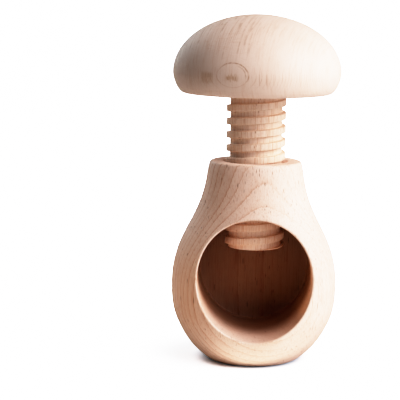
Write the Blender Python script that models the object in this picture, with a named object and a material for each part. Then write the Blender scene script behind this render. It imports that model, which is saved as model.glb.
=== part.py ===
"""Mushroom screw nutcracker in turned, untreated beech.

Frame: metres, +Z up along the turning axis, origin at the centre of the foot's
underside, the nut chamber opening towards -Y.  Shown with the spindle part of
the way down, its end hanging in the top of the chamber.

Pieces
  body       pear-shaped turned body: female thread in the neck, blind cross bore
  screw      threaded spindle with a plain round tenon at its top end
  cap        mushroom head with a blind socket for the tenon
  glue_line  the cured film of glue between tenon and socket

The spindle is right-handed: turned clockwise from above it goes down.
"""
import math

import bmesh
import bpy
from mathutils import Matrix

MM = 0.001

# ---------------------------------------------------------------- dimensions
# Everything below is in millimetres until it reaches a mesh.

# Spindle thread: a wooden square-ish form, slightly tapered flanks
PITCH = 5.25              # one turn moves the spindle this far
CREST_R = 11.75           # spindle outside radius
ROOT_R = 10.25            # spindle root radius
CREST_W = 2.60            # flat on top of a thread
ROOT_W = 2.20             # flat in the groove
THREAD_SEG = 40           # facets in one turn

# Female thread in the neck: the spindle's form with play all round
RADIAL_PLAY = 0.32
AXIAL_PLAY = 0.36         # on each flank

# Heights along the axis, at the pose the part rests in
NECK_Z = 79.2             # flat top of the neck
CAP_UNDER_Z = 105.9       # flat underside of the cap
CAP_EQUATOR_Z = 114.0     # where the cap is widest
CAP_TOP_Z = 136.6         # crown of the dome
SCREW_END_Z = 44.9        # flat lower end of the spindle
END_CHAMFER = 0.9
GROOVE_LEFT_Z = 97.25     # middle of one groove, on the left seen from the front

# Pear-shaped outside of the body: (height, radius, slope) of each station that
# the template passes through, foot to neck
FOOT_FLAT_R = 16.9
BODY_STATIONS = (
    (1.6, 19.8, 1.30),    # top of the foot's eased edge
    (5.0, 23.6, 0.95),    # spring of the bowl
    (15.0, 30.1, 0.48),   # lower belly
    (30.0, 32.75, 0.0),   # widest
    (45.0, 30.2, -0.37),  # shoulder
    (55.0, 25.5, -0.52),  # steepest part of the shoulder
    (65.0, 21.15, -0.32), # waist
    (73.0, 19.3, -0.15),  # neck
    (78.1, 18.35, -0.27), # below the neck's eased rim
)
NECK_RIM_R = 17.45        # edge of the flat ring on top of the neck
BODY_SEG = 64

# Nut chamber: a blind bore square to the axis, drawn out a little in height so
# that a nut and the end of the spindle both fit
CHAMBER_HALF_W = 22.2
CHAMBER_HALF_H = 23.3
CHAMBER_Z = 35.4
CHAMBER_END_Y = 14.0      # its flat end, behind the axis
CHAMBER_SEG = 56

# Mouth of the threaded bore
MOUTH_R = 12.75

# Cap
CAP_R = 33.0
CAP_UNDER_R = 28.8        # edge of the flat underside
CAP_SEG = 64

# Glued joint between spindle and cap
TENON_R = 9.4
TENON_L = 18.0
JOINT_GAP = 0.3
GLUE_T = 0.3
SOCKET_R = TENON_R + JOINT_GAP + GLUE_T + JOINT_GAP
SOCKET_L = TENON_L + 1.0
SHOULDER_GAP = 0.3        # between the last thread and the cap's underside


# ------------------------------------------------------------------- helpers
def new_object(name, bm):
    mesh = bpy.data.meshes.new(name)
    bmesh.ops.recalc_face_normals(bm, faces=bm.faces)
    bm.to_mesh(mesh)
    bm.free()
    ob = bpy.data.objects.new(name, mesh)
    bpy.context.scene.collection.objects.link(ob)
    return ob


def hide_cutter(ob):
    ob.hide_render = True
    ob.display_type = "WIRE"
    return ob


def lathe(name, profile, seg):
    """Turned solid from (radius, height) points that start and end on the axis."""
    bm = bmesh.new()
    rings = []
    for r, z in profile:
        if r < 1e-6:
            rings.append([bm.verts.new((0.0, 0.0, z * MM))])
            continue
        ring = []
        for i in range(seg):
            a = 2 * math.pi * i / seg
            ring.append(bm.verts.new((r * math.cos(a) * MM, r * math.sin(a) * MM, z * MM)))
        rings.append(ring)
    for low, high in zip(rings[:-1], rings[1:]):
        for i in range(seg):
            j = (i + 1) % seg
            if len(low) == 1:
                bm.faces.new((low[0], high[j], high[i]))
            elif len(high) == 1:
                bm.faces.new((low[i], low[j], high[0]))
            else:
                bm.faces.new((low[i], low[j], high[j], high[i]))
    return new_object(name, bm)


def hermite(stations, step):
    """Points of the smooth template curve through (height, radius, slope) stations."""
    points = []
    for (z0, r0, m0), (z1, r1, m1) in zip(stations[:-1], stations[1:]):
        h = z1 - z0
        n = max(1, round(h / step))
        for k in range(n):
            t = k / n
            r = ((2 * t**3 - 3 * t**2 + 1) * r0 + (t**3 - 2 * t**2 + t) * h * m0
                 + (-2 * t**3 + 3 * t**2) * r1 + (t**3 - t**2) * h * m1)
            points.append((r, z0 + h * t))
    points.append((stations[-1][1], stations[-1][0]))
    return points


def threaded_rod(name, root_r, crest_r, root_w, crest_w, z_start, turns, seg):
    """Helical rod with a trapezoid thread, right-handed.

    z_start is the height, at angle 0, of the middle of the lowest groove.  The
    ends are ragged spirals and lie beyond the part of the rod that is kept.
    """
    flank = (PITCH - root_w - crest_w) / 2
    form = (
        (root_r, -root_w / 2),
        (root_r, root_w / 2),
        (crest_r, root_w / 2 + flank),
        (crest_r, root_w / 2 + flank + crest_w),
    )
    bm = bmesh.new()
    count = seg * turns
    lines = []
    for k, (r, dz) in enumerate(form):
        last = count + seg if k == 0 else count
        line = []
        for i in range(last + 1):
            a = 2 * math.pi * i / seg
            z = z_start + dz + PITCH * i / seg
            line.append(bm.verts.new((r * math.cos(a) * MM, r * math.sin(a) * MM, z * MM)))
        lines.append(line)
    for i in range(count):
        for k in range(4):
            low0, low1 = lines[k][i], lines[k][i + 1]
            if k < 3:
                high0, high1 = lines[k + 1][i], lines[k + 1][i + 1]
            else:
                high0, high1 = lines[0][i + seg], lines[0][i + seg + 1]
            bm.faces.new((low0, low1, high1, high0))
    bottom = bm.verts.new((0, 0, (z_start + PITCH / 2) * MM))
    loop = lines[0][: seg + 1] + [lines[3][0], lines[2][0], lines[1][0]]
    for a, b in zip(loop, loop[1:] + loop[:1]):
        bm.faces.new((bottom, b, a))
    top = bm.verts.new((0, 0, (z_start + PITCH * (turns + 0.5)) * MM))
    loop = lines[0][count:] + [lines[3][count], lines[2][count], lines[1][count]]
    for a, b in zip(loop, loop[1:] + loop[:1]):
        bm.faces.new((top, a, b))
    return new_object(name, bm)


def boolean(ob, other, operation):
    mod = ob.modifiers.new(operation.lower() + "_" + other.name, "BOOLEAN")
    mod.operation = operation
    mod.object = other
    mod.solver = "EXACT"
    hide_cutter(other)
    return mod


def timber(name, colour, roughness):
    mat = bpy.data.materials.new(name)
    mat.use_nodes = True
    p = mat.node_tree.nodes["Principled BSDF"]
    p.inputs["Base Color"].default_value = (*colour, 1.0)
    p.inputs["Roughness"].default_value = roughness
    p.inputs["Metallic"].default_value = 0.0
    return mat


def finish(ob, material):
    ob.data.materials.clear()
    ob.data.materials.append(material)
    ob.data.shade_smooth()
    ob.data.set_sharp_from_angle(angle=math.radians(32))


# -------------------------------------------------------------------- pieces
def body_profile():
    """Outside of the body, foot to neck, as (radius, height) points."""
    points = [(0.0, 0.0), (FOOT_FLAT_R, 0.0)]
    # eased edge of the foot
    r1, z1 = BODY_STATIONS[0][1], BODY_STATIONS[0][0]
    for k in (0.35, 0.7):
        points.append((FOOT_FLAT_R + (r1 - FOOT_FLAT_R) * k**0.8, z1 * k**1.5))
    points += hermite(BODY_STATIONS, 3.4)
    # eased rim of the neck
    r0, z0 = BODY_STATIONS[-1][1], BODY_STATIONS[-1][0]
    t = math.radians(45)
    points.append((NECK_RIM_R + (r0 - NECK_RIM_R) * math.cos(t) ** 0.7,
                   z0 + (NECK_Z - z0) * math.sin(t)))
    points.append((NECK_RIM_R, NECK_Z))
    points.append((0.0, NECK_Z))
    return points


def groove_height_at_angle_0():
    """Height of the middle of one groove of the thread at angle 0.

    It sets how far round the spindle is turned at rest.
    """
    return (GROOVE_LEFT_Z - PITCH / 2) % PITCH


def make_body(material):
    body = lathe("body", body_profile(), BODY_SEG)

    # blind cross bore, entered from the front
    bm = bmesh.new()
    length = CHAMBER_END_Y + 40.0
    bmesh.ops.create_cone(bm, cap_ends=True, segments=CHAMBER_SEG,
                          radius1=MM, radius2=MM, depth=length * MM)
    bmesh.ops.rotate(bm, verts=bm.verts, cent=(0, 0, 0),
                     matrix=Matrix.Rotation(math.radians(90), 3, "X"))
    bmesh.ops.scale(bm, verts=bm.verts, vec=(CHAMBER_HALF_W, 1.0, CHAMBER_HALF_H))
    bmesh.ops.translate(bm, verts=bm.verts,
                        vec=(0, (CHAMBER_END_Y - length / 2) * MM, CHAMBER_Z * MM))
    boolean(body, new_object("cut_chamber", bm), "DIFFERENCE")

    # female thread, from above the neck down into the chamber
    tap = threaded_rod(
        "cut_thread", ROOT_R + RADIAL_PLAY, CREST_R + RADIAL_PLAY,
        ROOT_W - 2 * AXIAL_PLAY, CREST_W + 2 * AXIAL_PLAY,
        groove_height_at_angle_0() + 9 * PITCH, 7, THREAD_SEG)
    boolean(body, tap, "DIFFERENCE")

    # countersunk mouth
    mouth = lathe("cut_mouth", [
        (0.0, NECK_Z - 2.2),
        (MOUTH_R - 2.2 * 0.75, NECK_Z - 2.2),
        (MOUTH_R, NECK_Z),
        (MOUTH_R, NECK_Z + 3.0),
        (0.0, NECK_Z + 3.0),
    ], THREAD_SEG)
    boolean(body, mouth, "DIFFERENCE")
    finish(body, material)
    return body


def make_screw(material):
    turns = math.ceil((CAP_UNDER_Z - SCREW_END_Z) / PITCH) + 3
    start = groove_height_at_angle_0()
    while start + 2 * PITCH < SCREW_END_Z:
        start += PITCH
    screw = threaded_rod("screw", ROOT_R, CREST_R, ROOT_W, CREST_W,
                         start - PITCH, turns + 1, THREAD_SEG)
    # keep what lies inside this envelope: flat chamfered end, flat shoulder
    shoulder = CAP_UNDER_Z - SHOULDER_GAP
    envelope = lathe("cut_envelope", [
        (0.0, SCREW_END_Z),
        (CREST_R - END_CHAMFER, SCREW_END_Z),
        (CREST_R + 0.3, SCREW_END_Z + END_CHAMFER + 0.3),
        (CREST_R + 0.3, shoulder),
        (0.0, shoulder),
    ], THREAD_SEG)
    boolean(screw, envelope, "INTERSECT")
    tenon = lathe("cut_tenon", [
        (0.0, shoulder - 3.0),
        (TENON_R, shoulder - 3.0),
        (TENON_R, CAP_UNDER_Z + TENON_L - 0.8),
        (TENON_R - 0.8, CAP_UNDER_Z + TENON_L),
        (0.0, CAP_UNDER_Z + TENON_L),
    ], THREAD_SEG)
    boolean(screw, tenon, "UNION")
    finish(screw, material)
    return screw


def cap_profile():
    """Turned outline of the mushroom head with its socket, as (radius, height)."""
    points = [(0.0, CAP_UNDER_Z + SOCKET_L), (SOCKET_R, CAP_UNDER_Z + SOCKET_L),
              (SOCKET_R, CAP_UNDER_Z)]
    # rounded lower edge: from the flat underside out to the widest ring
    n = 6
    for k in range(n + 1):
        t = math.pi / 2 * (1 - k / n)
        points.append((CAP_UNDER_R + (CAP_R - CAP_UNDER_R) * math.cos(t) ** 1.22,
                       CAP_EQUATOR_Z - (CAP_EQUATOR_Z - CAP_UNDER_Z) * math.sin(t) ** 1.22))
    # elliptical dome
    n = 12
    for k in range(1, n + 1):
        t = math.pi / 2 * k / n
        r = CAP_R * math.cos(t)
        points.append((r if k < n else 0.0,
                       CAP_EQUATOR_Z + (CAP_TOP_Z - CAP_EQUATOR_Z) * math.sin(t)))
    return points


def make_cap(material):
    cap = lathe("cap", cap_profile(), CAP_SEG)
    finish(cap, material)
    return cap


def make_glue_line(material):
    r0 = TENON_R + JOINT_GAP
    r1 = r0 + GLUE_T
    z0 = CAP_UNDER_Z + 0.3
    z1 = CAP_UNDER_Z + TENON_L - 1.2
    bm = bmesh.new()
    seg = THREAD_SEG
    rings = []
    for r, z in ((r0, z0), (r1, z0), (r1, z1), (r0, z1)):
        rings.append([bm.verts.new((r * math.cos(2 * math.pi * i / seg) * MM,
                                    r * math.sin(2 * math.pi * i / seg) * MM, z * MM))
                      for i in range(seg)])
    for a, b in zip(rings, rings[1:] + rings[:1]):
        for i in range(seg):
            j = (i + 1) % seg
            bm.faces.new((a[i], a[j], b[j], b[i]))
    glue = new_object("glue_line", bm)
    finish(glue, material)
    return glue


def main():
    for ob in list(bpy.data.objects):
        bpy.data.objects.remove(ob)
    beech_body = timber("beech_body", (0.76, 0.56, 0.40), 0.62)
    beech_cap = timber("beech_cap", (0.78, 0.59, 0.43), 0.60)
    beech_screw = timber("beech_screw", (0.72, 0.50, 0.33), 0.66)
    glue = timber("cured_glue", (0.78, 0.68, 0.45), 0.40)

    make_body(beech_body)
    make_glue_line(glue)

    # the spindle and the cap turn together about this axis
    axis = bpy.data.objects.new("screw_axis", None)
    axis.location = (0.0, 0.0, CAP_UNDER_Z * MM)
    bpy.context.scene.collection.objects.link(axis)
    bpy.context.view_layer.update()
    for ob in (make_screw(beech_screw), make_cap(beech_cap)):
        ob.parent = axis
        ob.matrix_parent_inverse = axis.matrix_world.inverted()


main()
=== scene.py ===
"""Looks for the mushroom screw nutcracker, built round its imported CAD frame.

Everything is in metres in the frame of the CAD part: +Z up along the turning
axis, the nut chamber opening towards -Y.
"""

import math

import bmesh
import bpy
from mathutils import Matrix, Vector, noise


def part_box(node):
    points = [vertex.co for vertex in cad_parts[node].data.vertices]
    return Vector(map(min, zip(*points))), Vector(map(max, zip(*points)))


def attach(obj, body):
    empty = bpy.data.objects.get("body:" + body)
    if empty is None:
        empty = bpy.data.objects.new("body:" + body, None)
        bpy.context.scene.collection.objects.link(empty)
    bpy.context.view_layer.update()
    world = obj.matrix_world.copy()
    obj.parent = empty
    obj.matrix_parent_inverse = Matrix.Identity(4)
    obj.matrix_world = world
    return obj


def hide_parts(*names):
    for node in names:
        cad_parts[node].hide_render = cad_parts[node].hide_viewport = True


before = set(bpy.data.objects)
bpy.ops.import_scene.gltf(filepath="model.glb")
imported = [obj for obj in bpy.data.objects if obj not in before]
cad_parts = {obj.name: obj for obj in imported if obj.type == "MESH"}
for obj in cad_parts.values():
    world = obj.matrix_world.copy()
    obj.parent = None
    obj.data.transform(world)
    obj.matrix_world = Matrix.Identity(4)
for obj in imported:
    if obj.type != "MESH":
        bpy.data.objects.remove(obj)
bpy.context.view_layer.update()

MM = 0.001
TAU = 2 * math.pi

# ------------------------------------------------ facts read from the frame
body_lo, body_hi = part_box("body")
screw_lo, screw_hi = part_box("screw")
cap_lo, cap_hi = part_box("cap")
NECK_Z = body_hi.z / MM
CAP_UNDER_Z = cap_lo.z / MM
CAP_TOP_Z = cap_hi.z / MM
SCREW_END_Z = screw_lo.z / MM
TENON_TOP_Z = screw_hi.z / MM
CAP_R = cap_hi.x / MM
CREST_R = screw_hi.x / MM

# ------------------------------------------------ the part's own form (mm)
PITCH = 5.25
ROOT_R = 10.25
CREST_W = 2.60
ROOT_W = 2.20
RADIAL_PLAY = 0.32
AXIAL_PLAY = 0.36
GROOVE_LEFT_Z = 97.25
GROOVE_0 = (GROOVE_LEFT_Z - PITCH / 2) % PITCH
CAP_EQUATOR_Z = 114.0
CAP_UNDER_R = 28.8
FOOT_FLAT_R = 16.9
STATIONS = (
    (1.6, 19.8, 1.30), (5.0, 23.6, 0.95), (15.0, 30.1, 0.48), (30.0, 32.75, 0.0),
    (45.0, 30.2, -0.37), (55.0, 25.5, -0.52), (65.0, 21.15, -0.32),
    (73.0, 19.3, -0.15), (78.1, 18.35, -0.27),
)
NECK_RIM_R = 17.45
CHAMBER_HALF_W = 22.2
CHAMBER_HALF_H = 23.3
CHAMBER_Z = 35.4
CHAMBER_END_Y = 14.0
MOUTH_R = 12.75
TENON_R = 9.4
SOCKET_R = 10.3
SOCKET_L = 19.0
SHOULDER_GAP = 0.3


# -------------------------------------------------------------- mesh helpers
def make_object(name, bm, smooth_angle=None):
    mesh = bpy.data.meshes.new(name)
    bmesh.ops.recalc_face_normals(bm, faces=bm.faces)
    bm.to_mesh(mesh)
    bm.free()
    mesh.shade_smooth()
    if smooth_angle is not None:
        mesh.set_sharp_from_angle(angle=math.radians(smooth_angle))
    ob = bpy.data.objects.new(name, mesh)
    bpy.context.scene.collection.objects.link(ob)
    return ob


def bake_modifiers(ob, smooth_angle):
    """Replace the object's mesh by its modified result."""
    deps = bpy.context.evaluated_depsgraph_get()
    mesh = bpy.data.meshes.new_from_object(ob.evaluated_get(deps))
    old = ob.data
    ob.modifiers.clear()
    ob.data = mesh
    mesh.name = ob.name
    bpy.data.meshes.remove(old)
    mesh.shade_smooth()
    mesh.set_sharp_from_angle(angle=math.radians(smooth_angle))
    return ob


def cut(ob, other, operation, smooth_angle=32):
    """EXACT boolean, applied, and the cutter thrown away."""
    mod = ob.modifiers.new("cut", "BOOLEAN")
    mod.operation = operation
    mod.object = other
    mod.solver = "EXACT"
    bpy.context.view_layer.update()
    bake_modifiers(ob, smooth_angle)
    mesh = other.data
    bpy.data.objects.remove(other)
    bpy.data.meshes.remove(mesh)
    return ob


def ring(bm, r, z, n, wobble=None):
    out = []
    for i in range(n):
        a = TAU * i / n
        out.append(bm.verts.new((r * math.cos(a) * MM, r * math.sin(a) * MM, z * MM)))
    return out


def bridge(bm, a, b):
    n = len(a)
    for i in range(n):
        j = (i + 1) % n
        bm.faces.new((a[i], a[j], b[j], b[i]))


def fan(bm, loop, centre):
    v = bm.verts.new([c * MM for c in centre])
    for i in range(len(loop)):
        bm.faces.new((loop[i], loop[(i + 1) % len(loop)], v))


def lathe(name, profile, n, smooth_angle=None):
    """Turned solid from (radius, height) points that start and end on the axis."""
    bm = bmesh.new()
    rings = []
    for r, z in profile[1:-1]:
        rings.append(ring(bm, r, z, n))
    for a, b in zip(rings[:-1], rings[1:]):
        bridge(bm, a, b)
    fan(bm, rings[0], (0, 0, profile[0][1]))
    fan(bm, rings[-1], (0, 0, profile[-1][1]))
    return make_object(name, bm, smooth_angle)


def bezier(points, n, include_first=True):
    """Points on a cubic Bezier."""
    p0, p1, p2, p3 = points
    out = []
    for k in range(0 if include_first else 1, n + 1):
        t = k / n
        u = 1 - t
        out.append(tuple(u**3 * a + 3 * u * u * t * b + 3 * u * t * t * c + t**3 * d
                         for a, b, c, d in zip(p0, p1, p2, p3)))
    return out


def ease_corner(p0, p1, p2, n, w=None):
    """Rational quadratic from p0 to p2 with its corner at p1: a fillet."""
    a = [x - y for x, y in zip(p0, p1)]
    b = [x - y for x, y in zip(p2, p1)]
    la = math.sqrt(sum(x * x for x in a)) or 1.0
    lb = math.sqrt(sum(x * x for x in b)) or 1.0
    c = max(-1.0, min(1.0, sum(x * y for x, y in zip(a, b)) / la / lb))
    w = math.sin(math.acos(c) / 2)
    out = []
    for k in range(n + 1):
        t = k / n
        u = 1 - t
        d = u * u + 2 * w * u * t + t * t
        out.append(tuple((u * u * x + 2 * w * u * t * y + t * t * z) / d
                         for x, y, z in zip(p0, p1, p2)))
    return out


# ---------------------------------------------------------------------- body
def body_radius(z):
    """Outside radius of the pear at height z (mm), from foot edge to rim."""
    if z <= STATIONS[0][0]:
        return STATIONS[0][1]
    for (z0, r0, m0), (z1, r1, m1) in zip(STATIONS[:-1], STATIONS[1:]):
        if z <= z1:
            h = z1 - z0
            t = (z - z0) / h
            return ((2 * t**3 - 3 * t**2 + 1) * r0 + (t**3 - 2 * t**2 + t) * h * m0
                    + (-2 * t**3 + 3 * t**2) * r1 + (t**3 - t**2) * h * m1)
    return STATIONS[-1][1]


COLS = 192            # columns round the body
FRONT = 40            # columns each side of the front that make way for the bore
LOW_Z, HIGH_Z = 8.0, 63.0
RIM_EASE = 0.50       # radius worked onto the chamber's edge


def outside(phi, z):
    """Point on the outside; phi is measured from the front (-Y) towards +X."""
    r = body_radius(z)
    return Vector((r * math.sin(phi), -r * math.cos(phi), z))


def oval(t, grow=0.0):
    """Point and outward normal of the bore's outline in the XZ plane."""
    x, z = CHAMBER_HALF_W * math.cos(t), CHAMBER_HALF_H * math.sin(t)
    n = Vector((math.cos(t) / CHAMBER_HALF_W, math.sin(t) / CHAMBER_HALF_H)).normalized()
    return x + grow * n.x, CHAMBER_Z + z + grow * n.y, n


def on_outside(x, z):
    r = body_radius(z)
    return Vector((x, -math.sqrt(max(r * r - x * x, 0.0)), z))


def build_body():
    bm = bmesh.new()
    # rows of the outside that run all the way round
    foot = bezier(((16.2, 0.0), (17.6, 0.0), (19.15, 1.1), (19.8, 1.6)), 7)
    rim = bezier(((18.35, 78.1), (18.19, 78.7), (17.75, 79.2), (17.2, 79.2)), 7)
    rim[-1] = (17.2, NECK_Z)
    rows_mid = 50
    low = [(body_radius(z), z) for z in
           [1.6 + (LOW_Z - 1.6) * k / 6 for k in range(1, 6)]]
    mid = [(body_radius(z), z) for z in
           [LOW_Z + (HIGH_Z - LOW_Z) * k / rows_mid for k in range(rows_mid + 1)]]
    high = [(body_radius(z), z) for z in
            [HIGH_Z + (78.1 - HIGH_Z) * k / 15 for k in range(1, 15)]]
    below = [(r, 0.0) for r in (4.0, 8.0, 12.0)] + foot + low
    above = high + rim + [(15.6, NECK_Z), (14.4, NECK_Z), (10.0, NECK_Z), (5.0, NECK_Z)]

    def place(r, z, i):
        a = -math.pi / 2 + TAU * i / COLS      # column 0 is at the front
        return bm.verts.new((r * math.cos(a) * MM, r * math.sin(a) * MM, z * MM))

    rings = [[place(r, z, i) for i in range(COLS)] for r, z in below]
    grid = []                                  # rows that the front window interrupts
    for k, (r, z) in enumerate(mid):
        row = {}
        for i in range(COLS):
            s = i if i <= COLS // 2 else i - COLS
            if abs(s) < FRONT and 0 < k < rows_mid:
                continue
            row[i] = place(r, z, i)
        grid.append(row)
    top_rings = [[place(r, z, i) for i in range(COLS)] for r, z in above]

    for a, b in zip(rings[:-1], rings[1:]):
        bridge(bm, a, b)
    bridge(bm, rings[-1], [grid[0][i] for i in range(COLS)])
    bridge(bm, [grid[-1][i] for i in range(COLS)], top_rings[0])
    for a, b in zip(top_rings[:-1], top_rings[1:]):
        bridge(bm, a, b)
    fan(bm, rings[0], (0, 0, 0))
    fan(bm, top_rings[-1], (0, 0, NECK_Z))
    for a, b in zip(grid[:-1], grid[1:]):
        for i in range(COLS):
            j = (i + 1) % COLS
            if i in a and j in a and i in b and j in b:
                s = i if i <= COLS // 2 else i - COLS
                if -FRONT <= s < FRONT:
                    continue
                bm.faces.new((a[i], a[j], b[j], b[i]))

    # edge of the window, anticlockwise seen from the front, as (phi, z, vertex)
    edge = []
    step = TAU / COLS
    zs = [z for _, z in mid]
    for s in range(-FRONT, FRONT):
        edge.append((s * step, zs[0], grid[0][s % COLS]))
    for k in range(rows_mid):
        edge.append((FRONT * step, zs[k], grid[k][FRONT]))
    for s in range(FRONT, -FRONT, -1):
        edge.append((s * step, zs[-1], grid[-1][s % COLS]))
    for k in range(rows_mid, 0, -1):
        edge.append((-FRONT * step, zs[k], grid[k][-FRONT % COLS]))
    n = len(edge)

    # where each edge point's line meets the bore: by its direction from the
    # centre, on the unrolled surface
    params = []
    for phi, z, _ in edge:
        u = 27.0 * phi
        params.append(math.atan2((z - CHAMBER_Z) / CHAMBER_HALF_H, u / CHAMBER_HALF_W))
    # even the spacing out a little: mix the directions with equal steps
    base = params[0]
    unwrapped = []
    for t in params:
        while t < base - 1e-9:
            t += TAU
        unwrapped.append(t)
    mixed = []
    for i, t in enumerate(unwrapped):
        even = base + TAU * i / n
        mixed.append(0.55 * t + 0.45 * even)

    # rim fillet between the outside and the wall of the bore
    rim_seg = 7
    fillets = []
    for t in mixed:
        x, z, nrm = oval(t)
        p = on_outside(x, z)
        e = 1e-3
        xa, za, _ = oval(t + e)
        xb, zb, _ = oval(t - e)
        tangent = (on_outside(xa, za) - on_outside(xb, zb)).normalized()
        xo, zo, _ = oval(t, 0.01)
        d1 = (on_outside(xo, zo) - p) / 0.01
        d1p = d1 - d1.dot(tangent) * tangent
        y = Vector((0, 1, 0))
        d2p = y - y.dot(tangent) * tangent
        gamma = d1p.angle(d2p)
        length = RIM_EASE / math.tan(gamma / 2)
        s1 = length / d1p.length
        s2 = length / d2p.length
        x1, z1, _ = oval(t, s1)
        q1 = on_outside(x1, z1)
        q2 = Vector((p.x, p.y + s2, p.z))
        fillets.append(([Vector(q) for q in ease_corner(q1, p, q2, rim_seg)], math.asin(
            max(-0.999, min(0.999, q1.x / body_radius(q1.z)))), q1.z))

    loops = [[v for _, _, v in edge]]
    inner_rings = 17
    for k in range(1, inner_rings):
        f = k / inner_rings
        f = f ** 0.9
        loop = []
        for (phi, z, _), (_, phi1, z1) in zip(edge, fillets):
            p = outside(phi + (phi1 - phi) * f, z + (z1 - z) * f)
            loop.append(bm.verts.new(p * MM))
        loops.append(loop)
    for k in range(rim_seg + 1):
        loops.append([bm.verts.new(f[0][k] * MM) for f in fillets])
    # wall, then the small radius left by the cutter, then the flat end
    corner = 0.8
    wall_seg = 24
    ends = [f[0][-1] for f in fillets]
    for k in range(1, wall_seg + 1):
        f = k / wall_seg
        loops.append([bm.verts.new(Vector((q.x, q.y + (CHAMBER_END_Y - corner - q.y) * f,
                                           q.z)) * MM) for q in ends])
    for k in range(1, 5):
        a = math.pi / 2 * k / 4
        inset = corner * (1 - math.cos(a))
        y = CHAMBER_END_Y - corner + corner * math.sin(a)
        loop = []
        for t in mixed:
            x, z, _ = oval(t, -inset)
            loop.append(bm.verts.new((x * MM, y * MM, z * MM)))
        loops.append(loop)
    for k in range(1, 10):
        f = 1 - k / 10
        loop = []
        for t in mixed:
            x, z, _ = oval(t, -corner)
            loop.append(bm.verts.new((x * f * MM, CHAMBER_END_Y * MM,
                                      (CHAMBER_Z + (z - CHAMBER_Z) * f) * MM)))
        loops.append(loop)
    for a, b in zip(loops[:-1], loops[1:]):
        bridge(bm, a, b)
    fan(bm, loops[-1], (0, CHAMBER_END_Y, CHAMBER_Z))
    body = make_object("body_turned", bm)

    # female thread with a hand-eased mouth
    tap = threaded("tap", ROOT_R + RADIAL_PLAY, CREST_R + RADIAL_PLAY,
                   ROOT_W - 2 * AXIAL_PLAY, CREST_W + 2 * AXIAL_PLAY,
                   GROOVE_0 + 9 * PITCH, 7, 96, 0.18, 0.12)
    cut(body, tap, "DIFFERENCE")
    mouth = [(0.0, NECK_Z - 2.2), (4.0, NECK_Z - 2.2), (MOUTH_R - 2.2 * 0.75, NECK_Z - 2.2)]
    mouth += ease_corner((MOUTH_R - 0.25 * 0.75, NECK_Z - 0.25), (MOUTH_R, NECK_Z),
                         (MOUTH_R + 0.35, NECK_Z + 0.02), 4)
    mouth += [(MOUTH_R + 0.35, NECK_Z + 3.0), (4.0, NECK_Z + 3.0), (0.0, NECK_Z + 3.0)]
    cut(body, lathe("mouth", mouth, 160), "DIFFERENCE")
    return body


# --------------------------------------------------------------------- screw
def thread_form(root_r, crest_r, root_w, crest_w, crest_ease, root_ease):
    """One pitch of a thread, (radius, height) from the middle of a groove up."""
    flank = (PITCH - root_w - crest_w) / 2
    z1 = root_w / 2
    z2 = z1 + flank
    z3 = z2 + crest_w
    z4 = z3 + flank
    height = crest_r - root_r

    def along(p, q, d):
        v = (q[0] - p[0], q[1] - p[1])
        length = math.hypot(*v)
        return (p[0] + v[0] * d / length, p[1] + v[1] * d / length)

    a, b, c, d = (root_r, z1), (crest_r, z2), (crest_r, z3), (root_r, z4)
    pts = [(root_r, 0.0)]
    pts += ease_corner(along(a, (root_r, 0), root_ease), a, along(a, b, root_ease), 3)
    pts += [along(a, b, height * 0.5)]
    pts += ease_corner(along(b, a, crest_ease), b, along(b, c, crest_ease), 3)
    pts += [(crest_r, (z2 + z3) / 2)]
    pts += ease_corner(along(c, b, crest_ease), c, along(c, d, crest_ease), 3)
    pts += [along(c, d, height * 0.5)]
    pts += ease_corner(along(d, c, root_ease), d, along(d, (root_r, PITCH), root_ease), 3)
    return pts


def threaded(name, root_r, crest_r, root_w, crest_w, z_start, turns, seg,
             crest_ease, root_ease, rough=None):
    """Helical rod, right-handed, closed by spiral ends."""
    form = thread_form(root_r, crest_r, root_w, crest_w, crest_ease, root_ease)
    m = len(form)
    count = seg * turns
    bm = bmesh.new()
    lines = []
    for k, (r, dz) in enumerate(form):
        last = count + seg if k == 0 else count
        line = []
        for i in range(last + 1):
            a = TAU * i / seg
            z = z_start + dz + PITCH * i / seg
            rr, zz = r, z
            if rough is not None:
                rr, zz = rough(k, r, a, z)
            line.append(bm.verts.new((rr * math.cos(a) * MM, rr * math.sin(a) * MM, zz * MM)))
        lines.append(line)
    for i in range(count):
        for k in range(m):
            if k < m - 1:
                bm.faces.new((lines[k][i], lines[k][i + 1],
                              lines[k + 1][i + 1], lines[k + 1][i]))
            else:
                bm.faces.new((lines[k][i], lines[k][i + 1],
                              lines[0][i + 1 + seg], lines[0][i + seg]))
    bottom = bm.verts.new((0, 0, (z_start + PITCH / 2) * MM))
    loop = lines[0][: seg + 1] + [lines[k][0] for k in range(m - 1, 0, -1)]
    for a, b in zip(loop, loop[1:] + loop[:1]):
        bm.faces.new((bottom, b, a))
    top = bm.verts.new((0, 0, (z_start + PITCH * (turns + 0.5)) * MM))
    loop = lines[0][count:] + [lines[k][count] for k in range(m - 1, 0, -1)]
    for a, b in zip(loop, loop[1:] + loop[:1]):
        bm.faces.new((top, a, b))
    return make_object(name, bm)


def thread_wear(k, r, a, z):
    """Small tears along the crest's edges and tool ripple in the groove."""
    p = Vector((math.cos(a) * 11.0, math.sin(a) * 11.0, z))
    grow = (r - ROOT_R) / (CREST_R - ROOT_R)
    ripple = 0.018 * noise.noise(Vector((p.x * 1.1, p.y * 1.1, p.z * 0.7)))
    r2 = r - abs(ripple)
    if grow > 0.6:
        # end grain tears where the cutter leaves the crest
        n = noise.noise(Vector((p.x * 1.7 + 5.0, p.y * 1.7, p.z * 0.55)))
        bite = max(0.0, n - 0.28)
        r2 -= 0.55 * bite * (1.0 if 0.8 < grow else 0.6)
    z2 = z + 0.05 * noise.noise(Vector((p.x * 0.22, p.y * 0.22, p.z * 0.22 + 9.0)))
    return min(r2, CREST_R), z2


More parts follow.
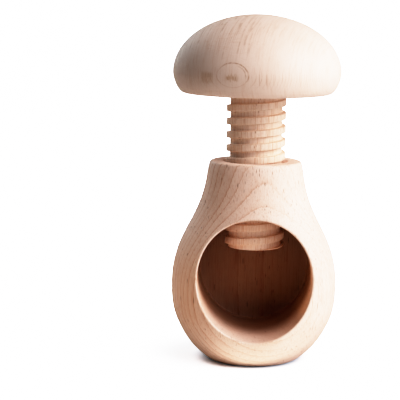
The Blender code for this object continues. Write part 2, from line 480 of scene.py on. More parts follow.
def build_screw():
    turns = math.ceil((CAP_UNDER_Z - SCREW_END_Z) / PITCH) + 4
    start = GROOVE_0
    while start + 2 * PITCH < SCREW_END_Z:
        start += PITCH
    screw = threaded("spindle", ROOT_R, CREST_R, ROOT_W, CREST_W,
                     start - PITCH, turns, 120, 0.26, 0.16, thread_wear)
    shoulder = CAP_UNDER_Z - SHOULDER_GAP
    env = [(0.0, SCREW_END_Z), (4.0, SCREW_END_Z), (8.0, SCREW_END_Z)]
    env += ease_corner((10.35, SCREW_END_Z), (10.85, SCREW_END_Z), (11.2, SCREW_END_Z + 0.35), 4)
    env += ease_corner((11.5, SCREW_END_Z + 0.65), (11.75, SCREW_END_Z + 0.9),
                       (12.4, SCREW_END_Z + 1.9), 3)
    env += [(12.4, shoulder), (6.0, shoulder), (0.0, shoulder)]
    cut(screw, lathe("envelope", env, 160), "INTERSECT")
    tenon = [(0.0, shoulder - 3.0), (4.0, shoulder - 3.0), (TENON_R, shoulder - 3.0),
             (TENON_R, TENON_TOP_Z - 0.8)]
    tenon += ease_corner((TENON_R, TENON_TOP_Z - 0.8), (TENON_R, TENON_TOP_Z),
                         (TENON_R - 0.8, TENON_TOP_Z), 4)[1:]
    tenon += [(4.0, TENON_TOP_Z), (0.0, TENON_TOP_Z)]
    cut(screw, lathe("tenon", tenon, 96), "UNION")
    return screw


# ----------------------------------------------------------------------- cap
def build_cap():
    prof = [(0.0, CAP_UNDER_Z + SOCKET_L), (4.0, CAP_UNDER_Z + SOCKET_L),
            (SOCKET_R, CAP_UNDER_Z + SOCKET_L), (SOCKET_R, CAP_UNDER_Z + 9.0),
            (SOCKET_R, CAP_UNDER_Z + 0.3), (SOCKET_R + 0.3, CAP_UNDER_Z)]
    prof += [(r, CAP_UNDER_Z) for r in (14.0, 18.0, 22.0, 26.0)]
    n = 24
    for k in range(n + 1):
        t = math.pi / 2 * (1 - k / n)
        prof.append((CAP_UNDER_R + (CAP_R - CAP_UNDER_R) * math.cos(t) ** 1.22,
                     CAP_EQUATOR_Z - (CAP_EQUATOR_Z - CAP_UNDER_Z) * math.sin(t) ** 1.22))
    n = 56
    for k in range(1, n):
        t = math.pi / 2 * k / n
        prof.append((CAP_R * math.cos(t),
                     CAP_EQUATOR_Z + (CAP_TOP_Z - CAP_EQUATOR_Z) * math.sin(t)))
    prof.append((0.0, CAP_TOP_Z))
    return lathe("cap_turned", prof, 192, 32)


# ----------------------------------------------------------------- materials
class Nodes:
    """Small helper for writing node trees."""

    def __init__(self, name):
        self.mat = bpy.data.materials.new(name)
        self.mat.use_nodes = True
        self.t = self.mat.node_tree
        self.t.nodes.clear()
        self.x = 0

    def add(self, kind, **props):
        n = self.t.nodes.new(kind)
        self.x += 40
        n.location = (self.x, -(self.x % 400))
        for k, v in props.items():
            setattr(n, k, v)
        return n

    def put(self, socket, value):
        if isinstance(value, bpy.types.NodeSocket):
            self.t.links.new(value, socket)
        elif value is not None:
            socket.default_value = value

    def math(self, op, a, b=None, c=None, clamp=False):
        n = self.add("ShaderNodeMath", operation=op, use_clamp=clamp)
        for s, v in zip(n.inputs, (a, b, c)):
            self.put(s, v)
        return n.outputs[0]

    def vmath(self, op, a, b=None, scale=None):
        n = self.add("ShaderNodeVectorMath", operation=op)
        self.put(n.inputs[0], a)
        if b is not None:
            self.put(n.inputs[1], b)
        if scale is not None:
            self.put(n.inputs["Scale"], scale)
        return n.outputs["Value"] if op in ("DOT_PRODUCT", "LENGTH", "DISTANCE") else n.outputs["Vector"]

    def combine(self, x, y, z):
        n = self.add("ShaderNodeCombineXYZ")
        for s, v in zip(n.inputs, (x, y, z)):
            self.put(s, v)
        return n.outputs[0]

    def separate(self, v):
        n = self.add("ShaderNodeSeparateXYZ")
        self.put(n.inputs[0], v)
        return n.outputs

    def noise(self, vector, scale, detail=2.0, rough=0.5, distortion=0.0, dims="3D", w=None):
        n = self.add("ShaderNodeTexNoise", noise_dimensions=dims)
        if dims != "1D":
            self.put(n.inputs["Vector"], vector)
        if w is not None:
            self.put(n.inputs["W"], w)
        self.put(n.inputs["Scale"], scale)
        self.put(n.inputs["Detail"], detail)
        self.put(n.inputs["Roughness"], rough)
        self.put(n.inputs["Distortion"], distortion)
        return n.outputs["Fac"] if "Fac" in n.outputs else n.outputs[0]

    def voronoi(self, vector, scale, feature="F1", randomness=1.0):
        n = self.add("ShaderNodeTexVoronoi", feature=feature)
        self.put(n.inputs["Vector"], vector)
        self.put(n.inputs["Scale"], scale)
        self.put(n.inputs["Randomness"], randomness)
        return n

    def white(self, vector):
        n = self.add("ShaderNodeTexWhiteNoise", noise_dimensions="3D")
        self.put(n.inputs["Vector"], vector)
        return n.outputs["Value"]

    def smooth(self, value, lo, hi, to_lo=0.0, to_hi=1.0):
        n = self.add("ShaderNodeMapRange", interpolation_type="SMOOTHSTEP", clamp=True)
        for s, v in zip(n.inputs, (value, lo, hi, to_lo, to_hi)):
            self.put(s, v)
        return n.outputs[0]

    def linear(self, value, lo, hi, to_lo=0.0, to_hi=1.0):
        n = self.add("ShaderNodeMapRange", interpolation_type="LINEAR", clamp=True)
        for s, v in zip(n.inputs, (value, lo, hi, to_lo, to_hi)):
            self.put(s, v)
        return n.outputs[0]

    def mix(self, fac, a, b, blend="MIX"):
        n = self.add("ShaderNodeMix", data_type="RGBA", blend_type=blend)
        self.put(n.inputs[0], fac)
        self.put(n.inputs[6], a)
        self.put(n.inputs[7], b)
        return n.outputs[2]

    def ramp(self, value, stops):
        n = self.add("ShaderNodeValToRGB")
        self.put(n.inputs[0], value)
        cr = n.color_ramp
        while len(cr.elements) > 1:
            cr.elements.remove(cr.elements[-1])
        cr.elements[0].position = stops[0][0]
        cr.elements[0].color = stops[0][1]
        for pos, col in stops[1:]:
            e = cr.elements.new(pos)
            e.color = col
        return n.outputs[0]


def rgb(r, g, b):
    """sRGB 0-255 to a linear colour."""
    out = []
    for c in (r, g, b):
        c = c / 255.0
        out.append(c / 12.92 if c <= 0.04045 else ((c + 0.055) / 1.055) ** 2.4)
    return (*out, 1.0)


def beech(name, look):
    """Solid (3-D) beech.

    look: normal     angle of the growth-ring planes' normal in plan, degrees,
                     measured from the front (-Y) towards +X
          bend       how fast that normal turns across the piece (ring radius, mm)
          offset     where the rings start, mm
          spacing    ring width, mm
          line, fleck, fibre   strengths
          early, late, deep    colours
          saw        how far the fibres saw into a ring line, mm
          eye        optional height of the spot where the rings run along the surface
    """
    n = Nodes(name)
    geo = n.add("ShaderNodeTexCoord")
    p = n.vmath("SCALE", geo.outputs["Object"], scale=1000.0)       # millimetres
    sx, sy, sz = n.separate(p)
    a = math.radians(look["normal"])
    nx, ny = math.sin(a), -math.cos(a)          # ring normal in plan
    tx, ty = math.cos(a), math.sin(a)           # across the rings' trace
    u = n.math("ADD", n.math("MULTIPLY", sx, nx), n.math("MULTIPLY", sy, ny))
    v = n.math("ADD", n.math("MULTIPLY", sx, tx), n.math("MULTIPLY", sy, ty))

    # growth-ring coordinate: distance from a far pith, so the rings are gently curved
    R = look["bend"]
    if R > 0:
        w = n.math("SUBTRACT", n.math("SQRT", n.math("ADD",
                   n.math("POWER", n.math("ADD", u, R), 2.0), n.math("POWER", v, 2.0))), R)
    else:
        w = n.math("SUBTRACT", -R, n.math("SQRT", n.math("ADD",
                   n.math("POWER", n.math("SUBTRACT", -R, u), 2.0), n.math("POWER", v, 2.0))))
    # slow wander of the rings, stretched along the trunk
    slow = n.noise(n.combine(n.math("MULTIPLY", sx, 0.045), n.math("MULTIPLY", sy, 0.045),
                             n.math("MULTIPLY", sz, look.get("rise", 0.012))), 1.0, 2.0, 0.5)
    w = n.math("ADD", w, n.math("MULTIPLY", n.math("SUBTRACT", slow, 0.5), look["wander"]))
    fine = n.noise(n.combine(n.math("MULTIPLY", sx, 0.9), n.math("MULTIPLY", sy, 0.9),
                             n.math("MULTIPLY", sz, 0.10)), 1.0, 2.0, 0.5)
    w = n.math("ADD", w, n.math("MULTIPLY", n.math("SUBTRACT", fine, 0.5), look["jitter"]))
    saw = n.noise(n.combine(n.math("MULTIPLY", sx, 2.4), n.math("MULTIPLY", sy, 2.4),
                            n.math("MULTIPLY", sz, 0.22)), 1.0, 1.0, 0.5)
    w = n.math("ADD", w, n.math("MULTIPLY", n.math("SUBTRACT", saw, 0.5), look.get("saw", 0.0)))
    w = n.math("ADD", w, look["offset"])
    # ring widths vary: warp the coordinate with 1-D noise
    warp = n.noise(None, 0.21, 2.0, 0.5, dims="1D", w=w)
    w2 = n.math("ADD", n.math("DIVIDE", w, look["spacing"]),
                n.math("MULTIPLY", n.math("SUBTRACT", warp, 0.5), look.get("uneven", 1.3)))
    frac = n.math("FRACT", w2)
    idx = n.math("FLOOR", w2)
    ring_tone = n.noise(None, 1.7, 0.0, 0.5, dims="1D", w=idx)

    # latewood: slow rise, sharp edge
    late = n.math("POWER", frac, look.get("rise_power", 5.0))
    edge = n.smooth(frac, 1.0 - look.get("edge", 0.10), 1.0)
    late = n.math("MULTIPLY", late, n.linear(ring_tone, 0.35, 0.65, 0.45, 1.0))
    if "pale_side" in look:
        # the rings run out paler towards the right
        pale_side = n.smooth(sx, -14.0, 16.0, 1.0, look["pale_side"])
        late = n.math("MULTIPLY", late, pale_side)
        edge = n.math("MULTIPLY", edge, pale_side)
    # a ring line fades in and out along its length
    fade = n.noise(n.combine(n.math("MULTIPLY", sx, 0.10), n.math("MULTIPLY", sy, 0.10),
                             n.math("MULTIPLY", sz, 0.05)), 1.0, 2.0, 0.5)
    fade = n.linear(fade, 0.36, 0.62, look.get("fade", 0.55), 1.0)
    late = n.math("MULTIPLY", late, fade)
    edge = n.math("MULTIPLY", edge, fade)
    if "eye" in look:
        # the innermost ring is drawn dark, above all at its upper right; the ones round it
        # only show as short dashes level with it
        dz = n.math("SUBTRACT", sz, look["eye"])
        level = n.math("EXPONENT", n.math("MULTIPLY",
                       n.math("POWER", n.math("ADD", dz, 1.0), 2.0), -0.14))
        first = n.math("MULTIPLY", n.smooth(w2, -0.8, -0.5), n.smooth(w2, 0.25, 0.10))
        side = n.linear(n.math("ADD", n.math("MULTIPLY", v, 0.5), dz), -1.5, 4.0, 0.50, 1.0)
        front = n.smooth(u, 8.0, 18.0)
        weight = n.math("MAXIMUM", n.math("MULTIPLY", first, side),
                        n.math("MULTIPLY", level, 0.95))
        weight = n.math("MULTIPLY", n.math("MAXIMUM", weight, 0.10), front)
        late = n.math("MULTIPLY", late, n.math("MULTIPLY", weight, 0.45))
        edge = n.math("MULTIPLY", edge, weight)
        arc = n.math("MULTIPLY", n.smooth(n.math("ABSOLUTE", n.math("SUBTRACT", w2, 0.20)), 0.10, 0.03),
                     n.math("MULTIPLY", n.smooth(v, 1.0, 4.0), n.smooth(dz, -1.5, 1.0)))
        rim = n.math("MULTIPLY", n.smooth(n.math("ABSOLUTE", n.math("ADD", w2, 0.06)), 0.13, 0.04),
                     n.smooth(n.math("ADD", n.math("MULTIPLY", v, 0.6), dz), 0.5, 3.5))
        edge = n.math("MAXIMUM", edge, n.math("MULTIPLY", n.math("MAXIMUM", arc, n.math("MULTIPLY", rim, 1.25)),
                                              n.math("MULTIPLY", front, 0.75)))
        broken = n.noise(n.combine(n.math("MULTIPLY", v, 0.75), n.math("MULTIPLY", sz, 0.75), 3.0),
                         1.0, 2.0, 0.6)
        edge = n.math("MULTIPLY", edge, n.smooth(broken, 0.36, 0.58, 0.25, 1.0))
        # short upright dashes, where the next rings come out on the right
        dashes = n.math("MULTIPLY", n.smooth(n.math("ABSOLUTE", n.math("ADD", dz, 1.0)), 2.6, 1.6),
                        n.math("MULTIPLY", n.smooth(v, 7.5, 8.5), n.smooth(v, 15.5, 14.5)))
        comb = n.math("ABSOLUTE", n.math("SUBTRACT", n.math("FRACT", n.math("DIVIDE",
                      n.math("ADD", v, 0.9), 2.45)), 0.5))
        dashes = n.math("MULTIPLY", dashes, n.smooth(comb, 0.10, 0.03))
        edge = n.math("MAXIMUM", edge, n.math("MULTIPLY", n.math("MULTIPLY", dashes, front), 0.50))

    # fibre streaks, long along the trunk
    su, sv, szz = look.get("streak", (2.6, 2.6, 0.09))
    streak = n.noise(n.combine(n.math("MULTIPLY", u, su), n.math("MULTIPLY", v, sv),
                               n.math("MULTIPLY", sz, szz)), 1.0, 3.0, 0.6)
    hair = n.noise(n.combine(n.math("MULTIPLY", sx, 7.5), n.math("MULTIPLY", sy, 7.5),
                             n.math("MULTIPLY", sz, 0.35)), 1.0, 2.0, 0.6)
    blot = n.noise(n.combine(n.math("MULTIPLY", sx, 0.06), n.math("MULTIPLY", sy, 0.06),
                             n.math("MULTIPLY", sz, 0.03)), 1.0, 2.0, 0.5)

    # rays: thin sheets along the radial direction, short along the trunk
    ru, rv, rz = look.get("ray", (0.16, 1.35, 0.30))
    q = n.combine(n.math("MULTIPLY", u, ru), n.math("MULTIPLY", v, rv),
                  n.math("MULTIPLY", sz, rz))
    cell = n.voronoi(q, 1.0, "F1", 1.0)
    ray = n.smooth(cell.outputs["Distance"], 0.08, look.get("ray_out", 0.30), 1.0, 0.0)
    pick = n.smooth(n.separate(cell.outputs["Color"])[0], look.get("ray_pick", 0.45), 0.95)
    ray = n.math("MULTIPLY", ray, pick)
    # a finer set of the same
    q2 = n.combine(n.math("MULTIPLY", u, ru * 1.3), n.math("MULTIPLY", v, rv * 2.3),
                   n.math("MULTIPLY", sz, rz * 1.9))
    cell2 = n.voronoi(q2, 1.0, "F1", 1.0)
    ray2 = n.math("MULTIPLY", n.smooth(cell2.outputs["Distance"], 0.08, 0.30, 1.0, 0.0),
                  n.smooth(n.separate(cell2.outputs["Color"])[1], 0.5, 0.95))
    ray = n.math("MAXIMUM", ray, n.math("MULTIPLY", ray2, 0.55))

    early, latec, deep = look["early"], look["late"], look["deep"]
    col = n.mix(n.linear(blot, 0.35, 0.65), early, look.get("early2", early))
    col = n.mix(n.math("MULTIPLY", late, look["line"]), col, latec)
    col = n.mix(n.math("MULTIPLY", edge, look["line"] * 0.75), col,
                deep if "eye" in look else latec)
    col = n.mix(n.math("MULTIPLY", n.smooth(streak, 0.50, 0.72), look["fibre"]), col, latec)
    col = n.mix(n.math("MULTIPLY", n.smooth(streak, 0.50, 0.30), look["fibre"] * 0.6), col, look.get("pale", early))
    col = n.mix(n.math("MULTIPLY", n.smooth(hair, 0.56, 0.74), look["fibre"] * 0.8), col, deep)
    fleck = n.math("MULTIPLY", ray, n.smooth(n.math("ABSOLUTE", v), 16.0, 28.0, look["fleck"],
                                             look["fleck"] * 0.25))
    col = n.mix(fleck, col, deep)
    if "slit" in look:
        # opened pores: thin dark dashes along the fibre
        pore = n.voronoi(n.combine(n.math("MULTIPLY", sx, 0.80), n.math("MULTIPLY", sy, 0.80),
                                   n.math("MULTIPLY", sz, 0.11)), 1.0, "F1", 1.0)
        slit = n.math("MULTIPLY", n.smooth(pore.outputs["Distance"], 0.20, 0.09),
                      n.smooth(n.separate(pore.outputs["Color"])[2], 0.45, 0.85))
        col = n.mix(n.math("MULTIPLY", slit, look["slit"]), col, rgb(112, 78, 58))

    if "eye" in look:
        grain = n.noise(n.combine(n.math("MULTIPLY", sx, 2.6), n.math("MULTIPLY", sy, 2.6),
                                  n.math("MULTIPLY", sz, 0.30)), 1.0, 2.0, 0.6)
        grain = n.smooth(grain, 0.36, 0.60)
        # brown dashes in the middle of the eye and level with it on the left
        mid = n.math("MULTIPLY", n.smooth(n.math("ABSOLUTE", n.math("ADD", v, 0.3)), 3.3, 1.3, 0.0, 1.0),
                     n.smooth(n.math("ABSOLUTE", n.math("ADD", dz, n.linear(grain, 0.0, 1.0, -0.3, 0.9))), 1.6, 0.5, 0.0, 1.0))
        left = n.math("MULTIPLY", n.smooth(n.math("ABSOLUTE", n.math("ADD", v, 10.4)), 3.2, 1.6, 0.0, 1.0),
                      n.smooth(n.math("ABSOLUTE", n.math("ADD", dz, 0.6)), 2.6, 1.2, 0.0, 1.0))
        spot = n.math("MAXIMUM", n.math("MULTIPLY", mid, 0.62), n.math("MULTIPLY", left, 0.42))
        spot = n.math("MULTIPLY", n.math("MULTIPLY", spot, front), n.linear(grain, 0.0, 1.0, 0.40, 1.0))
        col = n.mix(spot, col, look["stain"])
        # sheets cut across on the dome: fine lines from front to back
        sheet = n.noise(n.combine(n.math("MULTIPLY", u, 0.035), n.math("MULTIPLY", v, 1.15),
                                  n.math("MULTIPLY", sz, 0.035)), 1.0, 2.0, 0.55)
        dome = n.math("MULTIPLY", n.smooth(sz, look["eye"] + 3.0, look["eye"] + 12.0),
                      n.smooth(v, 14.0, -4.0, 0.15, 1.0))
        col = n.mix(n.math("MULTIPLY", n.math("MULTIPLY", n.smooth(sheet, 0.52, 0.64), dome), 0.20),
                    col, latec)
        fine = n.noise(n.combine(n.math("MULTIPLY", u, 0.030), n.math("MULTIPLY", v, 0.80),
                                 n.math("MULTIPLY", sz, 0.030)), 1.0, 1.0, 0.4)
        fine = n.smooth(n.math("ABSOLUTE", n.math("SUBTRACT", fine, 0.5)), 0.040, 0.010)
        fine = n.math("MULTIPLY", n.math("MULTIPLY", fine, dome),
                      n.smooth(n.noise(p, 0.45, 2.0, 0.6), 0.38, 0.58, 0.25, 1.0))
        col = n.mix(n.math("MULTIPLY", fine, 0.50), col, deep)
        cross = n.noise(n.combine(n.math("MULTIPLY", u, 1.6), n.math("MULTIPLY", v, 0.35),
                                  n.math("MULTIPLY", sz, 1.6)), 1.0, 2.0, 0.6)
        col = n.mix(n.math("MULTIPLY", n.math("MULTIPLY", n.smooth(cross, 0.54, 0.66), dome), 0.22),
                    col, latec)

    if "bore" in look:
        # painted shade: the bored hollow's colour is darkened from the rim towards its end, standing in for the
        # shade within the hollow
        e2 = n.math("ADD", n.math("POWER", n.math("DIVIDE", sx, CHAMBER_HALF_W), 2.0),
                    n.math("POWER", n.math("DIVIDE", n.math("SUBTRACT", sz, CHAMBER_Z),
                                           CHAMBER_HALF_H), 2.0))
        chamber_shade_mask = n.math("MULTIPLY", n.smooth(e2, 1.0, 1.06, 1.0, 0.0),
                        n.math("MULTIPLY", n.smooth(sy, -22.0, 0.0),
                               n.smooth(sy, CHAMBER_END_Y + 1.0, CHAMBER_END_Y + 3.0, 1.0, 0.0)))
        dark = n.mix(1.0, col, (*look["bore"], 1.0), "MULTIPLY")
        col = n.mix(chamber_shade_mask, col, dark)

    height = n.math("ADD", n.math("MULTIPLY", streak, 0.35),
                    n.math("ADD", n.math("MULTIPLY", hair, 0.35),
                           n.math("MULTIPLY", ray, -0.5)))
    height = n.math("ADD", height, n.math("MULTIPLY", late, 0.10))
    bump = n.add("ShaderNodeBump")
    bump.inputs["Strength"].default_value = look.get("bump", 0.35)
    bump.inputs["Distance"].default_value = 0.00005
    n.put(bump.inputs["Height"], height)

    rough = n.math("ADD", look["rough"], n.math("MULTIPLY", n.math("SUBTRACT", streak, 0.5), 0.12))
    bsdf = n.add("ShaderNodeBsdfPrincipled")
    n.put(bsdf.inputs["Base Color"], col)
    n.put(bsdf.inputs["Roughness"], rough)
    bsdf.inputs["Specular IOR Level"].default_value = look.get("spec", 0.30)
    n.put(bsdf.inputs["Normal"], bump.outputs[0])
    out = n.add("ShaderNodeOutputMaterial")
    n.put(out.inputs["Surface"], bsdf.outputs[0])
    return n.mat


def glue_material():
    n = Nodes("cured_glue_film")
    geo = n.add("ShaderNodeTexCoord")
    p = n.vmath("SCALE", geo.outputs["Object"], scale=1000.0)
    runs = n.noise(p, 0.8, 3.0, 0.6, 0.4)
    pits = n.noise(p, 5.0, 2.0, 0.6)
    col = n.mix(n.linear(runs, 0.3, 0.7), rgb(222, 205, 160), rgb(190, 160, 104))
    bump = n.add("ShaderNodeBump")
    bump.inputs["Strength"].default_value = 0.5
    bump.inputs["Distance"].default_value = 0.00008
    n.put(bump.inputs["Height"], n.math("ADD", runs, n.math("MULTIPLY", pits, 0.3)))
    bsdf = n.add("ShaderNodeBsdfPrincipled")
    n.put(bsdf.inputs["Base Color"], col)
    n.put(bsdf.inputs["Roughness"], n.linear(pits, 0.3, 0.7, 0.30, 0.50))
    n.put(bsdf.inputs["Normal"], bump.outputs[0])
    out = n.add("ShaderNodeOutputMaterial")
    n.put(out.inputs["Surface"], bsdf.outputs[0])
    return n.mat


# -------------------------------------------------------------------- camera
def make_camera():
    d, h, f = 583.59, 150.399, 1487.85
    yaw, pit, roll = -0.0373, 0.1486, 0.012
    turn = math.radians(-0.95)
    cy, sy = math.cos(yaw), math.sin(yaw)
    cp, sp = math.cos(pit), math.sin(pit)
    fwd = Vector((sy * cp, cy * cp, -sp))
    right = Vector((cy, -sy, 0.0))
    up = right.cross(fwd)
    cr, sr = math.cos(roll), math.sin(roll)
    right2 = cr * right + sr * up
    up2 = cr * up - sr * right
    m = Matrix(((right2.x, up2.x, -fwd.x, 0.0),
                (right2.y, up2.y, -fwd.y, -d * MM),
                (right2.z, up2.z, -fwd.z, h * MM),
                (0.0, 0.0, 0.0, 1.0)))
    cam = bpy.data.cameras.new("camera")
    cam.sensor_width = 36.0
    cam.lens = 36.0 * f / 400.0
    cam.clip_start = 0.01
    cam.clip_end = 20.0
    ob = bpy.data.objects.new("camera", cam)
    bpy.context.scene.collection.objects.link(ob)
    ob.matrix_world = Matrix.Rotation(turn, 4, "Z") @ m
    bpy.context.scene.camera = ob
    return ob


# --------------------------------------------------------------------- stage
def make_stage():
    """A white table that runs out into a white surround, lit to paper white; the camera sees it darker near the
    foot and giving off light farther out: a painted contact shadow over the real one.
    """
    bm = bmesh.new()
    radii = [0.02 * 1.18 ** k for k in range(34)]
    rings = [ring(bm, r / MM, 0.0, 96) for r in radii]
    for a, b in zip(rings[:-1], rings[1:]):
        bridge(bm, a, b)
    fan(bm, rings[0], (0, 0, 0))
    floor = make_object("floor", bm)
    if floor.data.polygons[0].normal.z < 0:
        floor.data.flip_normals()
    n = Nodes("white_table")
    geo = n.add("ShaderNodeTexCoord")
    p = n.vmath("SCALE", geo.outputs["Object"], scale=1000.0)
    soft = n.noise(p, 0.02, 2.0, 0.5)
    away = n.vmath("LENGTH", p)
    seen = n.add("ShaderNodeBsdfDiffuse")
    # painted contact shadow: within about 25 mm of the foot the camera sees the table's colour cut to a quarter,
    # deepening the real shadow
    shade = n.mix(n.smooth(away, 17.5, 25.5), (0.75, 0.84, 0.94, 1.0), (3.0, 3.1, 3.25, 1.0))
    n.put(seen.inputs["Color"], n.mix(n.linear(soft, 0.3, 0.7), shade, (3.05, 3.05, 3.1, 1.0),
                                      "DARKEN"))
    # painted light: an emission seen only by the camera, faint at the foot and strong from 85 mm out, which whitens
    # the cast shadow away from the foot
    painted_floor_light = n.add("ShaderNodeEmission")
    painted_floor_light.inputs["Color"].default_value = (1.0, 1.0, 1.0, 1.0)
    n.put(painted_floor_light.inputs["Strength"], n.smooth(away, 26.0, 85.0, FLOOR_GLOW, 5.0))
    both = n.add("ShaderNodeAddShader")
    n.put(both.inputs[0], seen.outputs[0])
    n.put(both.inputs[1], painted_floor_light.outputs[0])
    bounce = n.add("ShaderNodeBsdfDiffuse")
    bounce.inputs["Color"].default_value = (FLOOR_ALBEDO, FLOOR_ALBEDO, FLOOR_ALBEDO, 1.0)
    path = n.add("ShaderNodeLightPath")
    pick = n.add("ShaderNodeMixShader")
    n.put(pick.inputs[0], path.outputs["Is Camera Ray"])
    n.put(pick.inputs[1], bounce.outputs[0])
    n.put(pick.inputs[2], both.outputs[0])
    out = n.add("ShaderNodeOutputMaterial")
    n.put(out.inputs["Surface"], pick.outputs[0])
    floor.data.materials.append(n.mat)


def area_light(name, where, at, size, power, colour=(1, 1, 1)):
    light = bpy.data.lights.new(name, "AREA")
    light.shape = "RECTANGLE"
    light.size, light.size_y = size
    light.energy = power
    light.color = colour
    ob = bpy.data.objects.new(name, light)
    bpy.context.scene.collection.objects.link(ob)
    ob.location = where
    direction = Vector(at) - Vector(where)
    ob.rotation_euler = direction.to_track_quat("-Z", "Y").to_euler()
    return ob


def tone_curve(power, knee, n):
    """Film-like response: a contrasty body and a soft shoulder into white."""
    view = bpy.context.scene.view_settings
    view.view_transform = "Standard"
    view.look = "None"
    view.exposure = 0.0
    view.gamma = 1.0
    view.use_curve_mapping = True
    cm = view.curve_mapping
    top = 4.0
    cm.black_level = (0.0, 0.0, 0.0)
    cm.white_level = (top, top, top)
    curve = cm.curves[3]
    def f(x):
        y = x / (1 + (x / knee) ** n) ** (1 / n)
        return min(1.0, max(0.0, y) ** power)
    xs = [0.0, 0.01, 0.03, 0.06, 0.10, 0.15, 0.2, 0.28, 0.36, 0.46, 0.58, 0.7, 0.84, 1.0,
          1.2, 1.45, 1.8, 2.3, 3.0, 4.0]
    curve.points[0].location = (0.0, 0.0)
    curve.points[1].location = (1.0, f(top))
    for x in xs[1:-1]:
        curve.points.new(x / top, f(x))
    cm.update()


def softbox(name, azimuth, elevation, distance, size, power, colour=(1.0, 1.0, 1.0)):
    a, e = math.radians(azimuth), math.radians(elevation)
    at = Vector((0.0, 0.0, 0.07))
    where = at + distance * Vector((math.sin(a) * math.cos(e), -math.cos(a) * math.cos(e),
                                    math.sin(e)))
    return area_light(name, where, at, (size, size), power, colour)


def make_light(pieces):
    world = bpy.data.worlds.new("studio")
    bpy.context.scene.world = world
    world.use_nodes = True
    t = world.node_tree
    t.nodes.clear()
    path = t.nodes.new("ShaderNodeLightPath")
    seen = t.nodes.new("ShaderNodeBackground")
    seen.inputs["Color"].default_value = (1.0, 1.0, 1.0, 1.0)
    seen.inputs["Strength"].default_value = 6.0
    fill = t.nodes.new("ShaderNodeBackground")
    fill.inputs["Color"].default_value = (0.95, 0.98, 1.0, 1.0)
    fill.inputs["Strength"].default_value = AMBIENT
    pick = t.nodes.new("ShaderNodeMixShader")
    out = t.nodes.new("ShaderNodeOutputWorld")
    t.links.new(path.outputs["Is Camera Ray"], pick.inputs[0])
    t.links.new(fill.outputs[0], pick.inputs[1])
    t.links.new(seen.outputs[0], pick.inputs[2])
    t.links.new(pick.outputs[0], out.inputs["Surface"])
    for name, az, el, dist, size, power, colour in SOFTBOXES:
        softbox(name, az, el, dist, size, power, colour)
    for name, where, at, size, power, colour in REFLECTORS:
        low = area_light(name, where, at, size, power, colour)
        low.visible_camera = False
        low.light_linking.receiver_collection = pieces
    tone_curve(1.45, 1.0, 4.0)


# ---------------------------------------------------------------------- main
# FLOOR_GLOW is the table's emission next to the foot, where the painted contact shadow is deepest
FLOOR_GLOW = 0.02      # what the camera sees of the table even in full shadow
FLOOR_ALBEDO = 0.50
AMBIENT = 0.045
COOL = (0.90, 0.96, 1.0)
KEY = (0.99, 0.965, 0.985)
WARM = (1.0, 0.55, 0.20)
# name, azimuth, elevation, distance, size, power, colour
SOFTBOXES = (
    ("side", 90, 12, 0.9, 0.6, 6.4, KEY),
    ("key", 70, 35, 0.9, 0.6, 5.9, KEY),
    ("front_right", 45, 35, 0.9, 0.6, 6.1, KEY),
    ("high_right", 60, 62, 0.9, 0.6, 1.5, KEY),
    ("front_low", 36, 9, 0.9, 0.6, 1.4, KEY),
    ("back_left", -140, 25, 0.9, 0.6, 5.6, COOL),
    ("back", 180, 20, 1.0, 1.2, 1.2, COOL),
)
# name, place, aim, size, power, colour: light thrown back onto the piece from close by
REFLECTORS = (
    ("low_left", (-0.086, -0.056, 0.014), (-0.01, -0.01, 0.022), (0.075, 0.050), 0.0275, WARM),
    ("table_front", (0.041, -0.036, 0.0006), (0.041, -0.036, 0.1), (0.120, 0.030), 0.0165,
     (1.0, 0.91, 0.82)),
    ("table_far", (0.030, -0.120, 0.001), (0.030, -0.120, 0.1), (0.20, 0.12), 0.020,
     (1.0, 0.97, 0.94)),
    ("in_chamber", (0.0, -0.012, 0.020), (0.0, -0.008, 0.06), (0.026, 0.020), 0.0037,
     (1.0, 0.58, 0.28)),
)

make_camera()

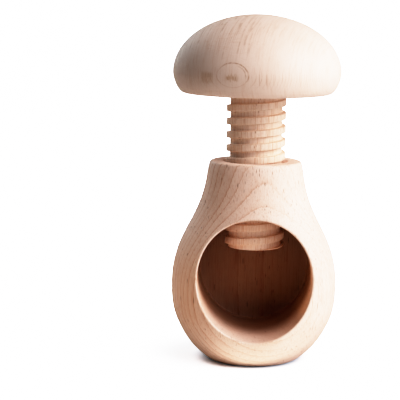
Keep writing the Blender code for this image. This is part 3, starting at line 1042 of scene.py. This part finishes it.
body_look = {
    "normal": 10.0, "bend": 90.0, "offset": 1.0, "spacing": 2.3,
    "wander": 1.6, "jitter": 0.50, "line": 0.95, "fleck": 0.95, "fibre": 0.45,
    "early": rgb(237, 212, 197), "early2": rgb(232, 205, 189), "pale": rgb(243, 223, 211),
    "late": rgb(198, 149, 118), "deep": rgb(146, 98, 70),
    # the "bore" colour is multiplied into the chamber's interior: painted shade
    "rough": 0.62, "bump": 0.35, "bore": (0.36, 0.26, 0.20),
    "ray": (0.16, 2.1, 0.26), "ray_pick": 0.74, "edge": 0.10, "fade": 0.55, "saw": 0.34, "pale_side": 0.26, "slit": 0.62,
}
cap_look = {
    "normal": -17.3, "bend": -104.0, "offset": 0.0, "spacing": 0.93, "uneven": 0.0,
    "wander": 0.0, "jitter": 0.05, "line": 1.0, "fleck": 0.30, "fibre": 0.27,
    "early": rgb(236, 212, 197), "early2": rgb(231, 206, 190), "pale": rgb(243, 223, 211),
    "late": rgb(206, 166, 138), "deep": rgb(186, 144, 114),
    "rough": 0.60, "bump": 0.30,
    "ray": (0.05, 2.0, 0.30), "ray_pick": 0.55, "streak": (0.05, 1.5, 0.14),
    "edge": 0.13, "fade": 0.6, "eye": CAP_EQUATOR_Z, "saw": 0.04,
    "stain": rgb(180, 136, 92),
}
cap_look["offset"] = (CAP_R - 0.81) * -1.0
screw_look = {
    "normal": 62.0, "bend": 60.0, "offset": 0.8, "spacing": 1.7,
    "wander": 0.9, "jitter": 0.20, "line": 0.50, "fleck": 0.65, "fibre": 0.60,
    "early": rgb(236, 211, 193), "early2": rgb(230, 203, 182), "pale": rgb(243, 223, 208),
    "late": rgb(206, 163, 130), "deep": rgb(152, 106, 72),
    "rough": 0.68, "bump": 0.5,
    "ray": (0.16, 2.1, 0.40), "ray_pick": 0.6,
}

body = build_body()
body.data.materials.append(beech("beech_body_grain", body_look))
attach(body, "stand")
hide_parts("body")

screw = build_screw()
screw.data.materials.append(beech("beech_spindle_grain", screw_look))
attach(screw, "press_screw")
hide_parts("screw")

cap = build_cap()
cap.data.materials.append(beech("beech_cap_grain", cap_look))
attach(cap, "press_screw")
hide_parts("cap")

glue_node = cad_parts["glue_line"]
glue = glue_material()
for s in glue_node.material_slots:
    s.material = glue

make_stage()
lit = bpy.data.collections.new("pieces")
for ob in (body, screw, cap):
    lit.objects.link(ob)
make_light(lit)
